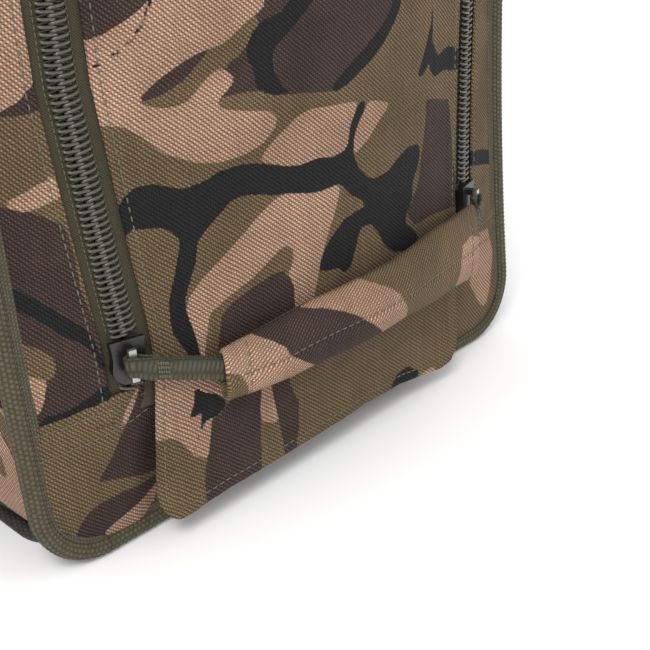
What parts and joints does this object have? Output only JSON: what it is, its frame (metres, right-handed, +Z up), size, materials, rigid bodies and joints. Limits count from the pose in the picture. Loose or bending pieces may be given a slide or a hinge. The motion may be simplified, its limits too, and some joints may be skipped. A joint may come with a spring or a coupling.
{
  "type": "tackle backpack",
  "caption": "Upright camouflage fishing backpack with a front door on twin zips and one padded pull handle, a zipped lid, side pockets and a padded harness.",
  "frame": {"origin": "on the floor, under the middle of the bag, at the front face of the main compartment", "axes": "+Z up, the front faces -Y, +X to the right seen from the front"},
  "size_m": [0.37, 0.3093, 0.49],
  "materials": {
    "camo_fabric": "woven, matt, printed camouflage",
    "olive_webbing": "ribbed webbing, matt",
    "zip_tape": "knitted tape, matt",
    "zip_coil": "moulded coil, satin",
    "gunmetal": "gunmetal plate, satin",
    "moulded_plastic": "moulded, matt",
    "padded_mesh": "spacer mesh over foam, matt",
    "board": "sheet, matt",
    "lining": "coated lining, matt",
    "base_fabric": "coated fabric, matt"
  },
  "bodies": {
    "bag": {"anchor_tabs": "camo_fabric", "back_lining": "lining", "back_pad": "padded_mesh", "back_stiffener": "board", "base_board": "board", "base_panel": "base_fabric", "carry_anchor": "olive_webbing", "chest_buckle_socket": "moulded_plastic", "chest_webbing_left": "olive_webbing", "chest_webbing_right": "olive_webbing", "divider": "lining", "door_hinge_strip": "olive_webbing", "front_gusset": "camo_fabric", "front_header": "camo_fabric", "front_lower_band": "camo_fabric", "front_piping": "olive_webbing", "front_side_left": "camo_fabric", "front_side_right": "camo_fabric", "front_zip_coils_bag": "zip_coil", "front_zip_tapes_bag": "zip_tape", "left_ladder_lock": "moulded_plastic", "left_pocket_rim": "olive_webbing", "left_side_pocket": "camo_fabric", "left_strap_pad": "camo_fabric", "left_strap_webbing": "olive_webbing", "left_webbing_tail": "olive_webbing", "lid_zip_coil_bag": "zip_coil", "lid_zip_tape_bag": "zip_tape", "lumbar_pad": "padded_mesh", "main_gusset": "camo_fabric", "right_ladder_lock": "moulded_plastic", "right_pocket_rim": "olive_webbing", "right_side_pocket": "camo_fabric", "right_strap_pad": "camo_fabric", "right_strap_webbing": "olive_webbing", "right_webbing_tail": "olive_webbing", "ring_keepers": "olive_webbing", "strap_roots": "olive_webbing"},
    "front_door": {"front_door": "camo_fabric", "front_zip_tapes_door": "zip_tape", "front_zip_coils_door": "zip_coil"},
    "front_pull": {"front_left_slider": "gunmetal", "front_right_slider": "gunmetal"},
    "front_handle": {"front_handle_pad": "camo_fabric", "front_handle_webbing": "olive_webbing"},
    "lid": {"lid": "camo_fabric", "lid_zip_tape_lid": "zip_tape", "lid_zip_coil_lid": "zip_coil"},
    "lid_left_slider": {"lid_left_slider": "gunmetal"},
    "lid_right_slider": {"lid_right_slider": "gunmetal"},
    "lid_left_pull": {"lid_left_pull": "moulded_plastic"},
    "lid_right_pull": {"lid_right_pull": "moulded_plastic"},
    "carry_handle": {"carry_handle": "olive_webbing"},
    "left_d_ring": {"left_d_ring": "gunmetal"},
    "right_d_ring": {"right_d_ring": "gunmetal"},
    "chest_plug": {"chest_buckle_plug": "moulded_plastic"}
  },
  "joints": [
    {"name": "front_door_lift", "type": "hinge", "parent": "bag", "child": "front_door", "pos_m": [0, -0.0953, 0.3806], "axis": [-1, 0, 0], "range_deg": [0, 100]},
    {"name": "front_zip_pull", "type": "slide", "parent": "front_door", "child": "front_pull", "axis": [0, 0.0698, 0.9976], "range_m": [0, 0.262], "deforming": ["front_zip_coils_bag", "front_zip_coils_door"]},
    {"name": "front_handle_swing", "type": "hinge", "parent": "front_pull", "child": "front_handle", "pos_m": [0, -0.1115, 0.0847], "axis": [-1, 0, 0], "range_deg": [0, 40], "deforming": ["front_handle_webbing"]},
    {"name": "lid_lift", "type": "hinge", "parent": "bag", "child": "lid", "pos_m": [0, 0.1215, 0.454], "axis": [-1, 0, 0], "range_deg": [0, 95]},
    {"name": "lid_left_zip", "type": "slide", "parent": "bag", "child": "lid_left_slider", "axis": [-1, 0, 0], "range_m": [0, 0.118], "deforming": ["lid_zip_coil_bag", "lid_zip_coil_lid"]},
    {"name": "lid_right_zip", "type": "slide", "parent": "bag", "child": "lid_right_slider", "axis": [1, 0, 0], "range_m": [0, 0.118]},
    {"name": "lid_left_pull_swing", "type": "hinge", "parent": "lid_left_slider", "child": "lid_left_pull", "pos_m": [-0.012, -0.012, 0.454], "axis": [-1, 0, 0], "range_deg": [0, 110]},
    {"name": "lid_right_pull_swing", "type": "hinge", "parent": "lid_right_slider", "child": "lid_right_pull", "pos_m": [0.012, -0.012, 0.454], "axis": [-1, 0, 0], "range_deg": [0, 110]},
    {"name": "carry_handle_swing", "type": "hinge", "parent": "bag", "child": "carry_handle", "pos_m": [0, 0.1242, 0.441], "axis": [1, 0, 0], "range_deg": [0, 90]},
    {"name": "left_ring_swing", "type": "hinge", "parent": "bag", "child": "left_d_ring", "pos_m": [-0.106, 0.17348, 0.267], "axis": [1, 0, 0], "range_deg": [0, 90]},
    {"name": "right_ring_swing", "type": "hinge", "parent": "bag", "child": "right_d_ring", "pos_m": [0.106, 0.17348, 0.267], "axis": [1, 0, 0], "range_deg": [0, 90]},
    {"name": "chest_release", "type": "slide", "parent": "bag", "child": "chest_plug", "axis": [1, 0, 0], "range_m": [0, 0.025], "deforming": ["chest_webbing_right"]}
  ]
}
